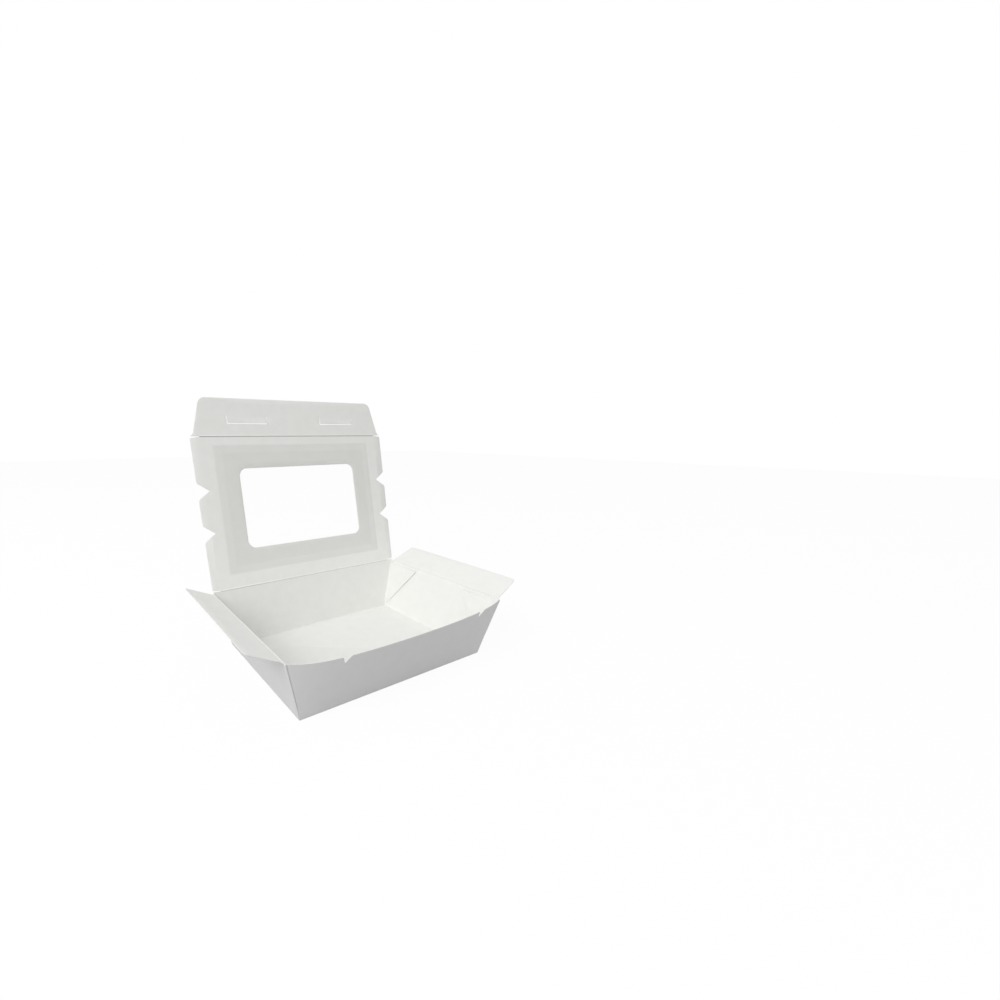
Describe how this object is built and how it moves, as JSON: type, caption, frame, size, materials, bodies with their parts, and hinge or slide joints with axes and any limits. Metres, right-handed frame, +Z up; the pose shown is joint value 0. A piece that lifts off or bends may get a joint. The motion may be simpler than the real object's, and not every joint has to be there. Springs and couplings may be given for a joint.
{
  "type": "takeout food box",
  "caption": "Open folded paperboard food box with a sloping tray, webbed corners, end flaps and a hinged lid with a film window, side tabs and a slotted tuck flap.",
  "frame": {"origin": "middle of the underside of the base, on the table", "axes": "+Z up, +X along the lid's crease to the right seen from the front, +Y from the front wall to the hinged back wall"},
  "size_m": [0.2422, 0.1767, 0.2052],
  "materials": {
    "paperboard": "matte, uncoated white paperboard",
    "window_film": "clear glossy film"
  },
  "bodies": {
    "tray": {"tray": "paperboard"},
    "lid": {"lid_panel": "paperboard", "window_film": "window_film"},
    "tuck_flap": {"tuck_flap": "paperboard"},
    "left_end_flap": {"left_end_flap": "paperboard"},
    "left_rear_side_tab": {"left_rear_side_tab": "paperboard"},
    "left_middle_side_tab": {"left_middle_side_tab": "paperboard"},
    "left_front_side_tab": {"left_front_side_tab": "paperboard"},
    "right_end_flap": {"right_end_flap": "paperboard"},
    "right_rear_side_tab": {"right_rear_side_tab": "paperboard"},
    "right_middle_side_tab": {"right_middle_side_tab": "paperboard"},
    "right_front_side_tab": {"right_front_side_tab": "paperboard"}
  },
  "joints": [
    {"name": "lid_hinge", "type": "hinge", "parent": "tray", "child": "lid", "pos_m": [0, 0.06527, 0.0485], "axis": [1, 0, 0], "range_deg": [-83, 104]},
    {"name": "tuck_crease", "type": "hinge", "parent": "lid", "child": "tuck_flap", "pos_m": [0, 0.09658, 0.17406], "axis": [1, 0, 0], "range_deg": [-25, 95.7]},
    {"name": "left_end_crease", "type": "hinge", "parent": "tray", "child": "left_end_flap", "pos_m": [-0.09791, 0, 0.0472], "axis": [0, 1, 0], "range_deg": [-60, 201]},
    {"name": "left_rear_tab_crease", "type": "hinge", "parent": "lid", "child": "left_rear_side_tab", "pos_m": [-0.0912, 0.06527, 0.0485], "axis": [0, 0.2419, 0.9703], "range_deg": [-10, 90]},
    {"name": "left_middle_tab_crease", "type": "hinge", "parent": "lid", "child": "left_middle_side_tab", "pos_m": [-0.0912, 0.06527, 0.0485], "axis": [0, 0.2419, 0.9703], "range_deg": [-10, 90]},
    {"name": "left_front_tab_crease", "type": "hinge", "parent": "lid", "child": "left_front_side_tab", "pos_m": [-0.0912, 0.06527, 0.0485], "axis": [0, 0.2419, 0.9703], "range_deg": [-10, 90]},
    {"name": "right_end_crease", "type": "hinge", "parent": "tray", "child": "right_end_flap", "pos_m": [0.09791, 0, 0.0472], "axis": [0, -1, 0], "range_deg": [-60, 201]},
    {"name": "right_rear_tab_crease", "type": "hinge", "parent": "lid", "child": "right_rear_side_tab", "pos_m": [0.0912, 0.06527, 0.0485], "axis": [0, -0.2419, -0.9703], "range_deg": [-10, 90]},
    {"name": "right_middle_tab_crease", "type": "hinge", "parent": "lid", "child": "right_middle_side_tab", "pos_m": [0.0912, 0.06527, 0.0485], "axis": [0, -0.2419, -0.9703], "range_deg": [-10, 90]},
    {"name": "right_front_tab_crease", "type": "hinge", "parent": "lid", "child": "right_front_side_tab", "pos_m": [0.0912, 0.06527, 0.0485], "axis": [0, -0.2419, -0.9703], "range_deg": [-10, 90]}
  ]
}
